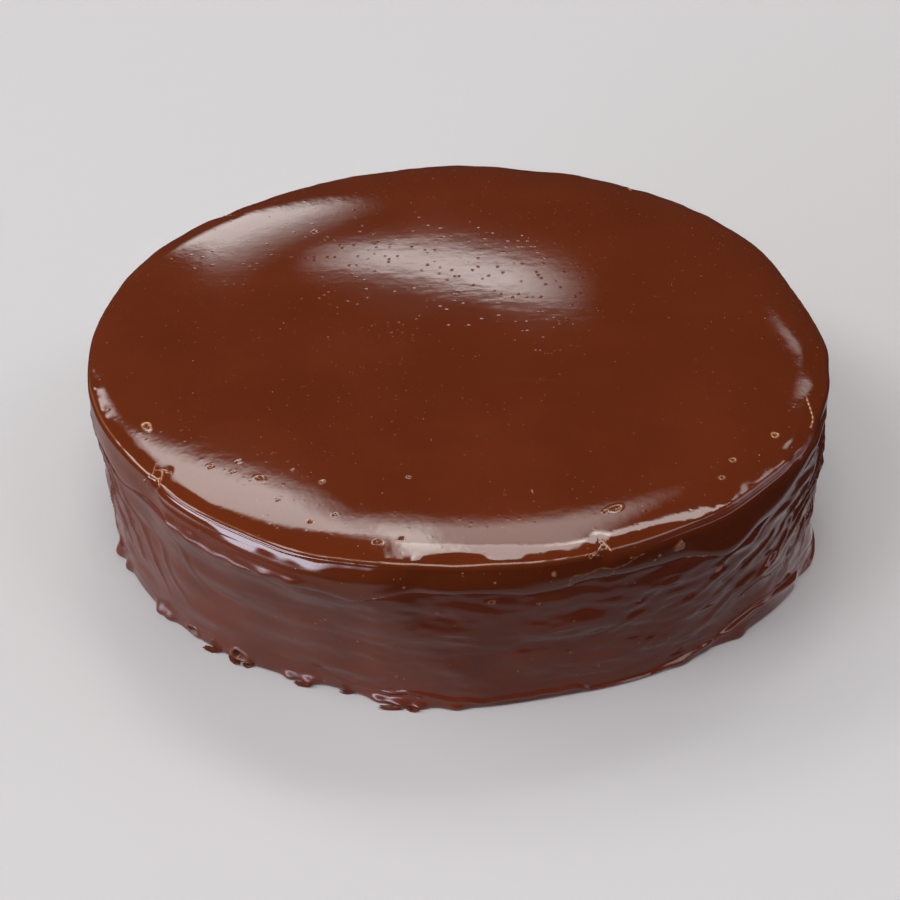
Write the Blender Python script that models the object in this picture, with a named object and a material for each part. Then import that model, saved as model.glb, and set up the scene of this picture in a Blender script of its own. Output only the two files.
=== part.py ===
"""A whole round sachertorte under a poured chocolate glaze: one closed solid on a flat underside.

The profile is turned about +Z with the spin operator. Then its points are pushed to the unevenness of
hand-poured glaze: an out-of-round lip and foot, the sagging edge of the glaze curtain, spatula waves and
torn foot flakes. Units are metres, +Z is up and the origin is the middle of the underside. The front of
the cake faces -Y.
"""

import math

import bmesh
import bpy
from mathutils import Vector, noise

MM = 0.001

# Driving dimensions.
LIP_RADIUS = 127.0 * MM
FOOT_RADIUS = 121.8 * MM
CROWN_HEIGHT = 63.9 * MM
LIP_ROUNDING = 4.0 * MM
LIP_CENTRE_HEIGHT = 57.8 * MM
SHOULDER_WIDTH = 34.0 * MM
SHOULDER_FADE = 10.0 * MM
LIP_TILT = math.radians(14.6)

# The curtain is the thick band of glaze that ran over the lip and set there.
CURTAIN_DROP = 9.0 * MM
CURTAIN_THICKNESS = 1.1 * MM
CURTAIN_STEP = 1.6 * MM

# Its lower edge hangs in long, shallow scallops with shorter drips on them: (length, depth).
CURTAIN_SCALLOP = (30.0 * MM, 2.6 * MM)
CURTAIN_DRIP = (11.0 * MM, 1.4 * MM)

# The foot: glaze that gathered in a low bead where the cake stood.
FOOT_ROUNDING = 1.0 * MM
BEAD_HEIGHT = 3.0 * MM
BEAD_OUT = 0.9 * MM
NECK_HEIGHT = 6.0 * MM
UNDERSIDE_RIM = 20.0 * MM

# Resolution of the turned solid.
TURN_STEPS = 168
SIDE_ROWS = 12
LIP_ROWS = 4
SHOULDER_ROWS = 4
SHOULDER_CROWDING = 1.6
TOP_ROWS = 3
SMOOTH_BELOW = math.radians(50.0)

# Spatula waves on the side: long, low and slightly slanting.
WAVE_LENGTH = 24.0 * MM
WAVE_HEIGHT = 9.0 * MM
WAVE_DEPTH = 0.8 * MM
WAVE_SLANT = 0.35
TOP_WAVE_LENGTH = 60.0 * MM
TOP_WAVE_DEPTH = 0.25 * MM

# Where the outline leaves a true circle: (middle in degrees, half width in degrees, millimetres outwards).
LIP_SWELLS = (
    (150, 13, 1.4),
    (122, 10, -0.8),
    (92, 8, 1.6),
    (55, 20, 1.4),
    (13, 12, -3.4),
    (-35, 12, 1.0),
    (-50, 6, 0.9),
    (-91, 8, -0.9),
    (-114, 8, 1.5),
    (-146, 13, -0.8),
)
FOOT_SWELLS = (
    (-26, 20, 5.4),
    (-76, 12, -2.2),
    (-112, 12, -3.6),
    (-150, 12, 0.6),
    (40, 22, 1.6),
    (98, 16, -1.4),
    (146, 18, 1.0),
)

# Torn flakes and gathered drops along the foot: (middle, half width, millimetres outwards, millimetres high).
FOOT_FLAKES = (
    (-155, 2.0, 2.4, 4.5),
    (-143, 2.2, 2.4, 4.0),
    (-138, 1.6, 1.8, 3.0),
    (-124, 2.4, 2.4, 3.5),
    (-100, 3.4, 1.8, 4.5),
    (-86, 2.6, 1.6, 4.0),
    (-44, 6.0, 1.2, 7.0),
    (28, 3.0, 1.8, 4.0),
    (71, 2.2, 2.0, 3.5),
    (112, 3.2, 1.6, 4.5),
    (131, 2.0, 2.2, 3.5),
    (170, 2.6, 1.8, 4.0),
)

# Where the lip was pinched in while the glaze was soft: (middle, half width, millimetres inwards).
LIP_NOTCHES = ((-140.5, 2.4, 1.3), (-62, 2.4, 1.0), (-8, 3.5, 1.0))


def swell(angle, middle, half_width):
    """A smooth bump of height 1 round the turn, with its middle and half width in degrees."""
    apart = (math.degrees(angle) - middle + 180.0) % 360.0 - 180.0
    return math.exp(-((apart / half_width) ** 2))


def ease(value, low, high):
    """0 below low, 1 above high and smooth between."""
    share = min(1.0, max(0.0, (value - low) / (high - low)))
    return share * share * (3.0 - 2.0 * share)


def turn_noise(angle, height, length, rise, slant=0.0, seed=0.0):
    """Smooth noise that closes on itself round the cake, length long and rise high."""
    turned = angle + slant * height / LIP_RADIUS
    around = LIP_RADIUS / length
    place = Vector((math.cos(turned) * around, math.sin(turned) * around, height / rise + seed))
    return noise.noise(place)


def wall_radius(height):
    """The side's plain radius: it leans in from the curtain to the foot."""
    under_lip = LIP_RADIUS - CURTAIN_THICKNESS
    return FOOT_RADIUS + (under_lip - FOOT_RADIUS) * min(1.0, height / LIP_CENTRE_HEIGHT)


def top_height(inset):
    """The top's height at this distance in from the lip's rounding: a shoulder that eases into the crown."""
    rounding_top = LIP_CENTRE_HEIGHT + LIP_ROUNDING * math.cos(LIP_TILT)
    return CROWN_HEIGHT - (CROWN_HEIGHT - rounding_top) * math.exp(-inset / SHOULDER_FADE)


def foot_profile():
    """From the middle of the underside, over the foot's edge and its bead, to the neck above it."""
    return [
        (0.0, 0.0),
        (FOOT_RADIUS - UNDERSIDE_RIM, 0.0),
        (FOOT_RADIUS - FOOT_ROUNDING, 0.0),
        (FOOT_RADIUS, FOOT_ROUNDING),
        (wall_radius(BEAD_HEIGHT) + BEAD_OUT, BEAD_HEIGHT),
        (wall_radius(NECK_HEIGHT), NECK_HEIGHT),
    ]


def side_profile():
    """The leaning side, from the neck to the curtain's lower edge, then the curtain up to the lip."""
    curtain_edge = LIP_CENTRE_HEIGHT - CURTAIN_DROP
    rise = (curtain_edge - NECK_HEIGHT) / SIDE_ROWS
    heights = [NECK_HEIGHT + rise * row for row in range(1, SIDE_ROWS + 1)]
    side = [(wall_radius(height), height) for height in heights]
    step_top = curtain_edge + CURTAIN_STEP
    curtain_radius = wall_radius(step_top) + CURTAIN_THICKNESS
    return side + [(curtain_radius, step_top), (LIP_RADIUS, LIP_CENTRE_HEIGHT)]


def lip_profile():
    """The tight rounding of the lip, from upright to the shoulder's own tilt."""
    centre = LIP_RADIUS - LIP_ROUNDING
    turn = math.pi / 2.0 - LIP_TILT
    angles = [turn * row / LIP_ROWS for row in range(1, LIP_ROWS + 1)]
    return [
        (centre + LIP_ROUNDING * math.cos(angle), LIP_CENTRE_HEIGHT + LIP_ROUNDING * math.sin(angle))
        for angle in angles
    ]


def top_profile():
    """The shoulder, with its rows closer together near the lip, and the crown to the middle."""
    edge = LIP_RADIUS - LIP_ROUNDING + LIP_ROUNDING * math.sin(LIP_TILT)
    shares = [(row / SHOULDER_ROWS) ** SHOULDER_CROWDING for row in range(1, SHOULDER_ROWS + 1)]
    insets = [SHOULDER_WIDTH * share for share in shares]
    shoulder = [(edge - inset, top_height(inset)) for inset in insets]
    inner = edge - SHOULDER_WIDTH
    radii = [inner * (1.0 - row / TOP_ROWS) for row in range(1, TOP_ROWS + 1)]
    return shoulder + [(radius, top_height(edge - radius)) for radius in radii]


def turned_solid():
    """The profile spun round the upright axis into one closed skin."""
    mesh = bmesh.new()
    profile = foot_profile() + side_profile() + lip_profile() + top_profile()
    points = [mesh.verts.new((radius, 0.0, height)) for radius, height in profile]
    edges = [mesh.edges.new(pair) for pair in zip(points, points[1:])]
    bmesh.ops.spin(
        mesh,
        geom=points + edges,
        cent=(0.0, 0.0, 0.0),
        axis=(0.0, 0.0, 1.0),
        steps=TURN_STEPS,
        angle=math.tau,
    )
    bmesh.ops.remove_doubles(mesh, verts=mesh.verts, dist=0.01 * MM)
    bmesh.ops.recalc_face_normals(mesh, faces=mesh.faces)
    return mesh


def outline_push(angle, height):
    """How far the out-of-round lip and foot move the outline here."""
    lip = sum(out * swell(angle, middle, width) for middle, width, out in LIP_SWELLS)
    foot = sum(out * swell(angle, middle, width) for middle, width, out in FOOT_SWELLS)
    share = min(1.0, height / LIP_CENTRE_HEIGHT)
    return (foot + (lip - foot) * share) * MM


def curtain_sag(angle):
    """How far the curtain's lower edge hangs below its mean height."""
    rows = ((CURTAIN_SCALLOP, 5.3), (CURTAIN_DRIP, 8.1))
    return sum(depth * turn_noise(angle, 0.0, length, 1.0, seed=seed) for (length, depth), seed in rows)


def side_relief(angle, height):
    """Spatula waves, foot flakes and pinched notches, all as a push outwards."""
    waves = turn_noise(angle, height, WAVE_LENGTH, WAVE_HEIGHT, slant=WAVE_SLANT)
    wave_share = ease(height, BEAD_HEIGHT, NECK_HEIGHT + WAVE_HEIGHT)
    wave_share *= 1.0 - 0.7 * ease(height, LIP_CENTRE_HEIGHT - CURTAIN_DROP, LIP_CENTRE_HEIGHT)
    push = 2.0 * WAVE_DEPTH * waves * wave_share
    for middle, width, out, flake_height in FOOT_FLAKES:
        fade = 1.0 - ease(height, 0.3 * flake_height * MM, 1.6 * flake_height * MM)
        push += out * MM * swell(angle, middle, width) * fade
    for middle, width, depth in LIP_NOTCHES:
        fade = ease(height, LIP_CENTRE_HEIGHT - CURTAIN_DROP, LIP_CENTRE_HEIGHT + LIP_ROUNDING / 2.0)
        push -= depth * MM * swell(angle, middle, width) * fade
    return push


def pour_glaze(mesh):
    """Pushes the turned skin's points to the poured, spread and set shape."""
    for point in mesh.verts:
        radius = math.hypot(point.co.x, point.co.y)
        height = point.co.z
        angle = math.atan2(point.co.y, point.co.x)
        plain = wall_radius(height)
        on_wall = ease(radius, plain - 2.0 * LIP_ROUNDING, plain - LIP_ROUNDING)
        push = outline_push(angle, height) * radius / plain + side_relief(angle, height) * on_wall
        if height > LIP_CENTRE_HEIGHT:
            top_share = 1.0 - on_wall
            across = Vector((point.co.x, point.co.y, 0.0)) / TOP_WAVE_LENGTH
            point.co.z += 2.0 * TOP_WAVE_DEPTH * noise.noise(across) * top_share
        elif height > NECK_HEIGHT:
            hang = ease(height, 0.5 * LIP_CENTRE_HEIGHT, LIP_CENTRE_HEIGHT - CURTAIN_DROP)
            hang *= 1.0 - ease(height, LIP_CENTRE_HEIGHT - 0.5 * CURTAIN_DROP, LIP_CENTRE_HEIGHT)
            point.co.z -= curtain_sag(angle) * hang
        if radius > 0.0:
            point.co.x += math.cos(angle) * push
            point.co.y += math.sin(angle) * push


def chocolate_glaze():
    material = bpy.data.materials.new("chocolate_glaze")
    material.use_nodes = True
    finish = material.node_tree.nodes["Principled BSDF"]
    finish.inputs["Base Color"].default_value = (0.125, 0.028, 0.011, 1.0)
    finish.inputs["Roughness"].default_value = 0.12
    finish.inputs["Metallic"].default_value = 0.0
    material.diffuse_color = (0.125, 0.028, 0.011, 1.0)
    return material


def glazed_cake():
    skin = turned_solid()
    pour_glaze(skin)
    bmesh.ops.triangulate(skin, faces=skin.faces)
    mesh = bpy.data.meshes.new("glazed_cake")
    skin.to_mesh(mesh)
    skin.free()
    mesh.materials.append(chocolate_glaze())
    mesh.shade_smooth()
    mesh.set_sharp_from_angle(angle=SMOOTH_BELOW)
    cake = bpy.data.objects.new("glazed_cake", mesh)
    bpy.context.scene.collection.objects.link(cake)
    return cake


for leftover in list(bpy.data.objects):
    bpy.data.objects.remove(leftover, do_unlink=True)

glazed_cake()
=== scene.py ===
# A whole sachertorte under a poured and set chocolate glaze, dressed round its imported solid.
import math
import random

import bmesh
import bpy
import numpy as np
from mathutils import Matrix, Vector, noise


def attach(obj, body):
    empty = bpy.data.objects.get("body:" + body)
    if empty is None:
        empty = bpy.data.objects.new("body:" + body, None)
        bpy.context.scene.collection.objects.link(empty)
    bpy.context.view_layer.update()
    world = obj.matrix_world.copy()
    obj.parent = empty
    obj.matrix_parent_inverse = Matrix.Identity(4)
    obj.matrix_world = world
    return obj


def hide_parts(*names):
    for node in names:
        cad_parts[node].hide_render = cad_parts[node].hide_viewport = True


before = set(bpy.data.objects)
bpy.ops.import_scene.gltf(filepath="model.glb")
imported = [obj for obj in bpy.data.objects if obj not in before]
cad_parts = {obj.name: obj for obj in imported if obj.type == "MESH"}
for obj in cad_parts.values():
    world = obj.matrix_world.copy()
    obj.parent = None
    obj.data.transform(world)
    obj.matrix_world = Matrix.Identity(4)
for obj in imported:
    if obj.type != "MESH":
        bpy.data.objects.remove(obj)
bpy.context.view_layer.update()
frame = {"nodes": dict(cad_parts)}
print("packed cake loaded:", ", ".join(frame["nodes"]))

mm = 0.001
scene = bpy.context.scene
cakeNode = "glazed_cake"

# The cake's main form, the same as the solid's.
cake = dict(
    lipRadius=127.0 * mm,
    footRadius=121.8 * mm,
    crownHeight=63.9 * mm,
    lipCentreHeight=57.8 * mm,
    curtainThickness=1.1 * mm,
    curtainDrop=9.0 * mm,
    beadHeight=3.0 * mm,
    neckHeight=6.0 * mm,
    waveLength=24.0 * mm,
    waveHeight=9.0 * mm,
    waveDepth=0.8 * mm,
    waveSlant=0.35,
)
# Where the outline leaves a true circle: middle and half width in degrees, millimetres outwards.
lipSwells = (
    (150, 13, 1.4), (122, 10, -0.8), (92, 8, 1.6), (55, 20, 1.4), (13, 12, -3.4),
    (-35, 12, 1.0), (-50, 6, 0.9), (-91, 8, -0.9), (-114, 8, 1.5), (-146, 13, -0.8),
)
footSwells = (
    (-26, 20, 5.4), (-76, 12, -2.2), (-112, 12, -3.6), (-150, 12, 0.6),
    (-4, 12, -4.6), (40, 22, 1.6), (98, 16, -1.4), (146, 18, 1.0),
)


# The poured form. Each function takes arrays of angles (radians) and heights (metres).
def degreesFrom(angles, middle):
    return (np.degrees(angles) - middle + 180.0) % 360.0 - 180.0


def arcFrom(angles, middle, radius):
    # millimetres round the cake from the middle
    return degreesFrom(angles, middle) * math.radians(1.0) * radius / mm


def swell(angles, middle, halfWidth):
    return np.exp(-((degreesFrom(angles, middle) / halfWidth) ** 2))


def ease(values, low, high):
    share = np.clip((values - low) / (high - low), 0.0, 1.0)
    return share * share * (3.0 - 2.0 * share)


def between(angles, start, end, fade):
    # one from start to end in degrees, fading out over a few degrees past them
    turned = np.degrees(angles)
    return ease(turned, start - fade, start) * (1.0 - ease(turned, end, end + fade))


def noiseAt(places):
    return np.fromiter((noise.noise(place) for place in places.tolist()), float, len(places))


def turnNoise(angles, heights, length, rise, slant=0.0, seed=0.0):
    turned = angles + slant * heights / cake["lipRadius"]  # closes on itself round the cake
    around = cake["lipRadius"] / length
    upright = heights / rise + seed
    return noiseAt(np.column_stack((np.cos(turned) * around, np.sin(turned) * around, upright)))


def wallRadius(heights):
    underLip = cake["lipRadius"] - cake["curtainThickness"]
    share = np.minimum(1.0, heights / cake["lipCentreHeight"])
    return cake["footRadius"] + (underLip - cake["footRadius"]) * share


def outlinePush(angles, heights):
    lip = sum(out * swell(angles, middle, width) for middle, width, out in lipSwells)
    foot = sum(out * swell(angles, middle, width) for middle, width, out in footSwells)
    return (foot + (lip - foot) * np.minimum(1.0, heights / cake["lipCentreHeight"])) * mm


def sideWaves(angles, heights):
    waves = turnNoise(angles, heights, cake["waveLength"], cake["waveHeight"], cake["waveSlant"])
    share = ease(heights, cake["beadHeight"], cake["neckHeight"] + cake["waveHeight"])
    curtainEdge = cake["lipCentreHeight"] - cake["curtainDrop"]
    share *= 1.0 - 0.7 * ease(heights, curtainEdge, cake["lipCentreHeight"])
    return 2.0 * cake["waveDepth"] * waves * share


def lumpPush(angles, heights):
    push = np.zeros(len(angles))
    for middle, width, out, height, halfHeight in glazeLumps:
        upright = np.exp(-(((heights / mm - height) / halfHeight) ** 2))
        push += out * mm * swell(angles, middle, width) * upright
    return push


def leftShare(angles, swelling):
    # how much a point belongs to the calm, dull left of the front: middle, half width, strength
    middle, halfWidth, strength = swelling
    return np.clip(strength * swell(angles, middle, halfWidth), 0.0, 1.0)


def polar(points):
    return np.arctan2(points[:, 1], points[:, 0]), np.hypot(points[:, 0], points[:, 1])


def pushOut(points, angles, push):
    points[:, 0] += np.cos(angles) * push
    points[:, 1] += np.sin(angles) * push


def readPoints(piece):
    points = np.empty(len(piece.data.vertices) * 3)
    piece.data.vertices.foreach_get("co", points)
    return points.reshape(-1, 3)


def writePoints(piece, points):
    piece.data.vertices.foreach_set("co", points.reshape(-1))
    piece.data.update()


# Modelling by hand: rings that are extruded row by row.
def deselectAll():
    if bpy.context.object and bpy.context.object.mode == "EDIT":
        bpy.ops.object.mode_set(mode="OBJECT")
    bpy.ops.object.select_all(action="DESELECT")


def startRing(name, segments, radius, height):
    deselectAll()
    bpy.ops.mesh.primitive_circle_add(
        vertices=segments, radius=radius, fill_type="NOTHING", location=(0.0, 0.0, height)
    )
    piece = bpy.context.object
    piece.name = piece.data.name = name
    bpy.ops.object.transform_apply(location=True, rotation=True, scale=True)
    bpy.ops.object.mode_set(mode="EDIT")
    bpy.ops.mesh.select_all(action="SELECT")
    return piece


def growRows(profile):
    # the selected ring is extruded along the profile's (radius, height) points
    for (radius, height), (nextRadius, nextHeight) in zip(profile, profile[1:]):
        bpy.ops.mesh.extrude_edges_move(
            TRANSFORM_OT_translate={"value": (0.0, 0.0, nextHeight - height)}
        )
        share = nextRadius / radius
        bpy.ops.transform.resize(value=(share, share, 1.0), center_override=(0.0, 0.0, 0.0))


def joinPieces(pieces, name):
    deselectAll()
    for piece in pieces:
        piece.select_set(True)
    bpy.context.view_layer.objects.active = pieces[0]
    bpy.ops.object.join()
    joined = bpy.context.object
    joined.name = joined.data.name = name
    return joined


def finishPiece(piece, material, smooth=math.radians(60)):
    if bpy.context.object.mode == "EDIT":
        bpy.ops.object.mode_set(mode="OBJECT")
    bpy.ops.object.select_all(action="DESELECT")
    piece.select_set(True)
    bpy.context.view_layer.objects.active = piece
    bpy.ops.object.mode_set(mode="EDIT")
    bpy.ops.mesh.select_all(action="SELECT")
    bpy.ops.mesh.normals_make_consistent(inside=False)
    bpy.ops.object.mode_set(mode="OBJECT")
    bpy.ops.object.shade_smooth_by_angle(angle=smooth)
    piece.data.materials.clear()
    piece.data.materials.append(material)
    piece.select_set(False)


def countTriangles(piece):
    return sum(len(face.vertices) - 2 for face in piece.data.polygons)


def paintPoints(piece, name, values):
    layer = piece.data.attributes.new(name, "FLOAT", "POINT")
    layer.data.foreach_set("value", values.astype(np.float32))


# The glaze sheet: top, lip and curtain.
glaze = dict(
    segments=720,
    broadFall=1.85 * mm, broadFade=22.0 * mm,  # the crown eases down to the lip in two parts
    narrowFall=1.70 * mm, narrowFade=6.8 * mm,
    lipTurn=2.2 * mm,  # the tight edge between the top and the curtain
    lipHigh=math.radians(72), lipHeight=58.3 * mm, lipReach=126.95 * mm,
    brightTurn=math.radians(50),  # where the lip line runs
    innerRadius=88.0 * mm,
    shoulderRows=24, lipRows=14, curtainRows=9,
    scallops=((26.0 * mm, 1.4 * mm, 5.3), (9.0 * mm, 0.8 * mm, 8.1)),  # length, depth, seed
    lipWobble=((17.0 * mm, 0.45 * mm, 2.2), (5.5 * mm, 0.16 * mm, 7.4), (2.6 * mm, 0.05 * mm, 4.1)),
    wobbleReach=1.8 * mm, wobbleOut=0.7,  # the lip's wobble: how far it reaches, and its outward share
    topWave=(60.0 * mm, 0.05 * mm),
    # a faint drag line: from x, to x, y, half width, height in millimetres and slant
    topRidge=(3.0, 60.0, -30.0, 1.5, 0.045, 0.06),
    wallShare=(8.0 * mm, 4.0 * mm),  # how far in from the wall a push starts and is whole
    leanFade=7.0,  # degrees past a lean's ends
    lineTanAndHighlight=0.20, lineWidth=0.24 * mm, lineEnds=(-165.0, -75.0, 10.0),  # the thin glaze along the lip line: a lighter tan, partly a painted highlight on the lip line's glint
    hazyLeft=(-134, 30, 1.25), hazyHeights=(54.0 * mm, 57.0 * mm),
    # the hazy band under the lip on the right: run, half width, strength, from and to angle, fade
    hazyBand=(-0.9 * mm, 0.8 * mm, 0.75, -66.0, -12.0, 6.0),
    rumpleRuns=(1.0 * mm, 4.0 * mm, 20.0 * mm, 34.0 * mm),  # where the glaze set unevenly near the lip
)
# Where the curtain leans out below the lip: from and to angle, millimetres out, from and to height.
curtainLeans = (
    (-136.0, -103.0, 1.9, 54.9, 58.9), (-67.0, -27.0, 1.05, 56.9, 59.2),
    (-98.0, -30.0, 0.55, 49.0, 57.0),
)
# How far the curtain hangs below its usual edge: middle, half width, millimetres.
curtainDrips = (
    (-105, 4.5, 3.6), (-79, 5.0, 1.6), (-50, 6.0, 6.0), (-38, 4.0, 2.0), (-22, 9.0, -4.6),
    (-150, 5.0, 2.4), (10, 6.0, 4.0), (46, 5.0, 5.0), (70, 4.0, 2.0), (96, 6.0, 4.4),
    (128, 5.0, 3.0), (163, 6.0, 4.6),
)
# Set runs of glaze under the lip: middle, half width, millimetres out, height and half height.
glazeLumps = (
    (-136.0, 1.5, 0.7, 50.5, 1.7), (-131.5, 1.9, 1.1, 50.0, 2.1), (-127.0, 1.7, 0.8, 49.0, 1.8),
    (-122.5, 2.0, 1.0, 48.6, 2.0), (-118.0, 1.6, 1.0, 50.2, 1.7), (-114.0, 1.8, 1.0, 50.6, 1.7),
    (-110.0, 1.7, 0.6, 49.6, 1.6), (34.0, 2.6, 0.7, 47.0, 2.6), (84.0, 2.2, 0.7, 48.0, 2.2),
    (118.0, 2.4, 0.8, 47.5, 2.4), (150.0, 2.2, 0.6, 48.5, 2.0),
)
# Where the lip was pinched in while it was soft: middle, half width, millimetres inwards.
lipNotches = (
    (-140.6, 1.1, 1.0), (-70.3, 1.0, 0.9), (-33.0, 2.0, 0.6), (-8, 3.5, 1.0), (58, 2.0, 0.8), (134, 1.6, 0.9),
)

# Burst bubbles on the top: x, y, ring radius, length over width, pit depth, rim height in millimetres, tan.
blisters = (
    (101.1, -61.1, 1.00, 1.2, 0.50, 0.14, 0.9), (86.1, -75.4, 0.85, 1.1, 0.45, 0.14, 0.5),
    (81.7, -84.5, 0.75, 1.1, 0.40, 0.14, 0.4), (-16.5, -84.5, 0.60, 1.1, 0.30, 0.12, 0.3),
    (-43.4, -86.2, 0.65, 1.4, 0.35, 0.10, 0.5), (-63.2, -83.7, 0.95, 2.0, 0.45, 0.08, 0.2),
    (-53.1, -79.6, 0.40, 1.5, 0.25, 0.10, 0.3), (-70.5, -74.3, 0.50, 2.0, 0.25, 0.10, 0.3),
    (-101.8, -53.0, 1.15, 1.8, 0.70, 0.10, 0.8), (47.1, -100.9, 1.20, 2.0, 0.45, 0.16, 0.3),
    (44.0, -102.6, 0.60, 1.6, 0.25, 0.12, 0.2), (-46.6, -106.1, 0.75, 1.6, 0.40, 0.06, 0.4),
    (-25.9, -116.0, 1.00, 1.5, 0.50, 0.05, 0.1), (-18.6, -114.6, 0.80, 1.4, 0.40, 0.05, 0.1),
    (-79.4, -76.9, 0.60, 2.2, 0.25, 0.10, 0.2), (-39.0, -103.0, 0.60, 1.8, 0.30, 0.06, 0.1),
    (13.4, -94.6, 0.30, 1.0, 0.10, 0.12, 0.3), (21.9, -92.1, 0.30, 1.0, 0.10, 0.12, 0.3),
    (-72.0, -80.0, 0.55, 1.6, 0.25, 0.06, 0.1), (-57.0, -95.0, 0.45, 1.6, 0.22, 0.06, 0.1),
    (-30.5, 62.0, 0.60, 1.8, 0.25, 0.12, 0.1), (-52.0, 71.0, 0.80, 1.6, 0.30, 0.12, 0.1),
)
# Thin torn films and drawn threads near the lip. Each point is an angle and the millimetres in from
# the lip line, less than nothing on the curtain; then half width, height (millimetres) and tan.
threads = (
    (((-141.9, 0.2), (-140.7, -0.2), (-139.9, -0.4), (-139.0, -0.9)), 0.20, 0.22, 0.9),
    (((-141.3, 3.3), (-140.4, 1.6), (-139.6, 0.4), (-139.0, -0.9)), 0.20, 0.24, 0.9),
    (((-140.6, -0.1), (-140.2, 0.8), (-140.3, 1.7)), 0.16, 0.18, 0.9),
    (((-142.1, -0.4), (-141.9, 1.0), (-142.7, 2.9), (-143.2, 4.4)), 0.18, 0.18, 0.4),
    (((-142.0, 2.2), (-141.2, 3.4), (-140.4, 3.4), (-139.7, 4.4)), 0.18, 0.18, 0.5),
    (((-73.0, -0.2), (-72.6, 0.1), (-72.3, -1.4), (-71.9, -0.8), (-70.6, 0.6), (-69.7, 2.0), (-69.2, 3.4)),
     0.18, 0.22, 0.6),
    (((-69.8, 2.6), (-69.5, 0.8), (-69.2, -0.5)), 0.26, 0.26, 0.9),
    (((-75.2, -8.6), (-74.7, -6.6), (-72.8, -7.3), (-70.9, -6.2), (-69.0, -8.0), (-69.1, -10.6),
      (-70.7, -11.9), (-73.2, -12.1), (-75.1, -10.4), (-75.2, -8.6)), 0.26, 0.08, 0.30),
    (((-74.2, -8.4), (-73.2, -8.0), (-72.0, -9.0), (-71.2, -8.7)), 0.20, 0.06, 0.25),
    (((-69.0, -8.2), (-68.2, -7.4), (-67.0, -6.6), (-65.6, -4.6), (-64.4, -4.0)), 0.22, 0.08, 0.30),
    (((-18.7, 5.8), (-20.4, 4.1), (-22.1, 2.3), (-23.6, 1.1), (-25.5, 0.7)), 0.28, 0.20, 0.8),
    (((60.0, -1.0), (58.9, 0.6), (58.6, 1.8), (57.6, 3.2)), 0.20, 0.24, 0.8),
    (((133.0, -2.0), (133.9, -0.6), (134.2, 1.0), (133.6, 3.0)), 0.20, 0.24, 0.8),
)
# Small bubbles set in the curtain: angle, millimetres below the lip line, radius, height, tan.
curtainBubbles = (
    (-58.6, -5.6, 1.9, 0.95, 0.5), (-77.5, -4.4, 0.8, 0.4, 0.6), (-143.1, -3.2, 0.7, 0.5, 0.2),
    (-61.9, -6.6, 0.5, 0.3, 0.6), (-62.6, -8.0, 0.5, 0.3, 0.5), (-66.4, -4.2, 0.4, 0.3, 0.6),
    (-90.0, -2.6, 0.35, 0.2, 0.6), (-98.0, -8.0, 0.4, 0.25, 0.5), (-85.6, -6.2, 0.4, 0.25, 0.7),
    (24.0, -6.0, 1.0, 0.5, 0.7), (104.0, -7.0, 1.3, 0.6, 0.8), (172.0, -5.0, 0.8, 0.4, 0.6),
)


def glazeProfile():
    # rows of (radius, height) from behind the curtain to the flat top, and the lip's highest row
    edge = cake["lipCentreHeight"] - cake["curtainDrop"]
    under = [(-2.6, 2.4), (-1.7, 0.9), (-1.25, 0.1), (-0.95, 0.0), (-0.62, 0.45), (-0.22, 1.6)]
    rows = [(glaze["lipReach"] + out * mm, edge + up * mm) for out, up in under]
    low = rows[-1][1]
    for row in range(1, glaze["curtainRows"] + 1):
        rows.append((glaze["lipReach"], low + (glaze["lipHeight"] - low) * row / glaze["curtainRows"]))
    centre = glaze["lipReach"] - glaze["lipTurn"]
    for row in range(1, glaze["lipRows"] + 1):
        turn = glaze["lipHigh"] * row / glaze["lipRows"]
        rows.append((
            centre + glaze["lipTurn"] * math.cos(turn),
            glaze["lipHeight"] + glaze["lipTurn"] * math.sin(turn),
        ))
    lipTop = rows[-1]
    reach = lipTop[0] - glaze["innerRadius"]
    for row in range(1, glaze["shoulderRows"] + 1):
        inset = reach * (row / glaze["shoulderRows"]) ** 1.7
        rows.append((lipTop[0] - inset, lipTop[1] + shoulderRise(inset, lipTop[1])))
    return rows, lipTop


def shoulderRise(inset, lipHeight):
    # how far the top has risen above the lip at this distance in from it
    fall = cake["crownHeight"] - lipHeight
    broad = fall * glaze["broadFall"] / (glaze["broadFall"] + glaze["narrowFall"])
    narrow = fall - broad
    return fall - broad * np.exp(-inset / glaze["broadFade"]) - narrow * np.exp(-inset / glaze["narrowFade"])


def curtainSag(angles):
    flat = np.zeros(len(angles))
    sag = np.zeros(len(angles))
    for length, depth, seed in glaze["scallops"]:
        sag += depth * turnNoise(angles, flat, length, 1.0, seed=seed)
    return sag + sum(drop * mm * swell(angles, middle, width) for middle, width, drop in curtainDrips)


def spread(angles, radii, heights):
    return outlinePush(angles, heights) * radii / wallRadius(heights)


def runAlong(points, lipTop):
    # distance along the profile from the bright lip line: above nothing on the top, below on the curtain
    radii, heights = np.hypot(points[:, 0], points[:, 1]), points[:, 2]
    turn = np.arctan2(heights - glaze["lipHeight"], radii - glaze["lipReach"] + glaze["lipTurn"])
    run = (turn - glaze["brightTurn"]) * glaze["lipTurn"]
    toCurtain = -glaze["brightTurn"] * glaze["lipTurn"]
    run = np.where(heights < glaze["lipHeight"], toCurtain - (glaze["lipHeight"] - heights), run)
    toTop = (glaze["lipHigh"] - glaze["brightTurn"]) * glaze["lipTurn"]
    return np.where(radii < lipTop[0], toTop + (lipTop[0] - radii), run)


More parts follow.
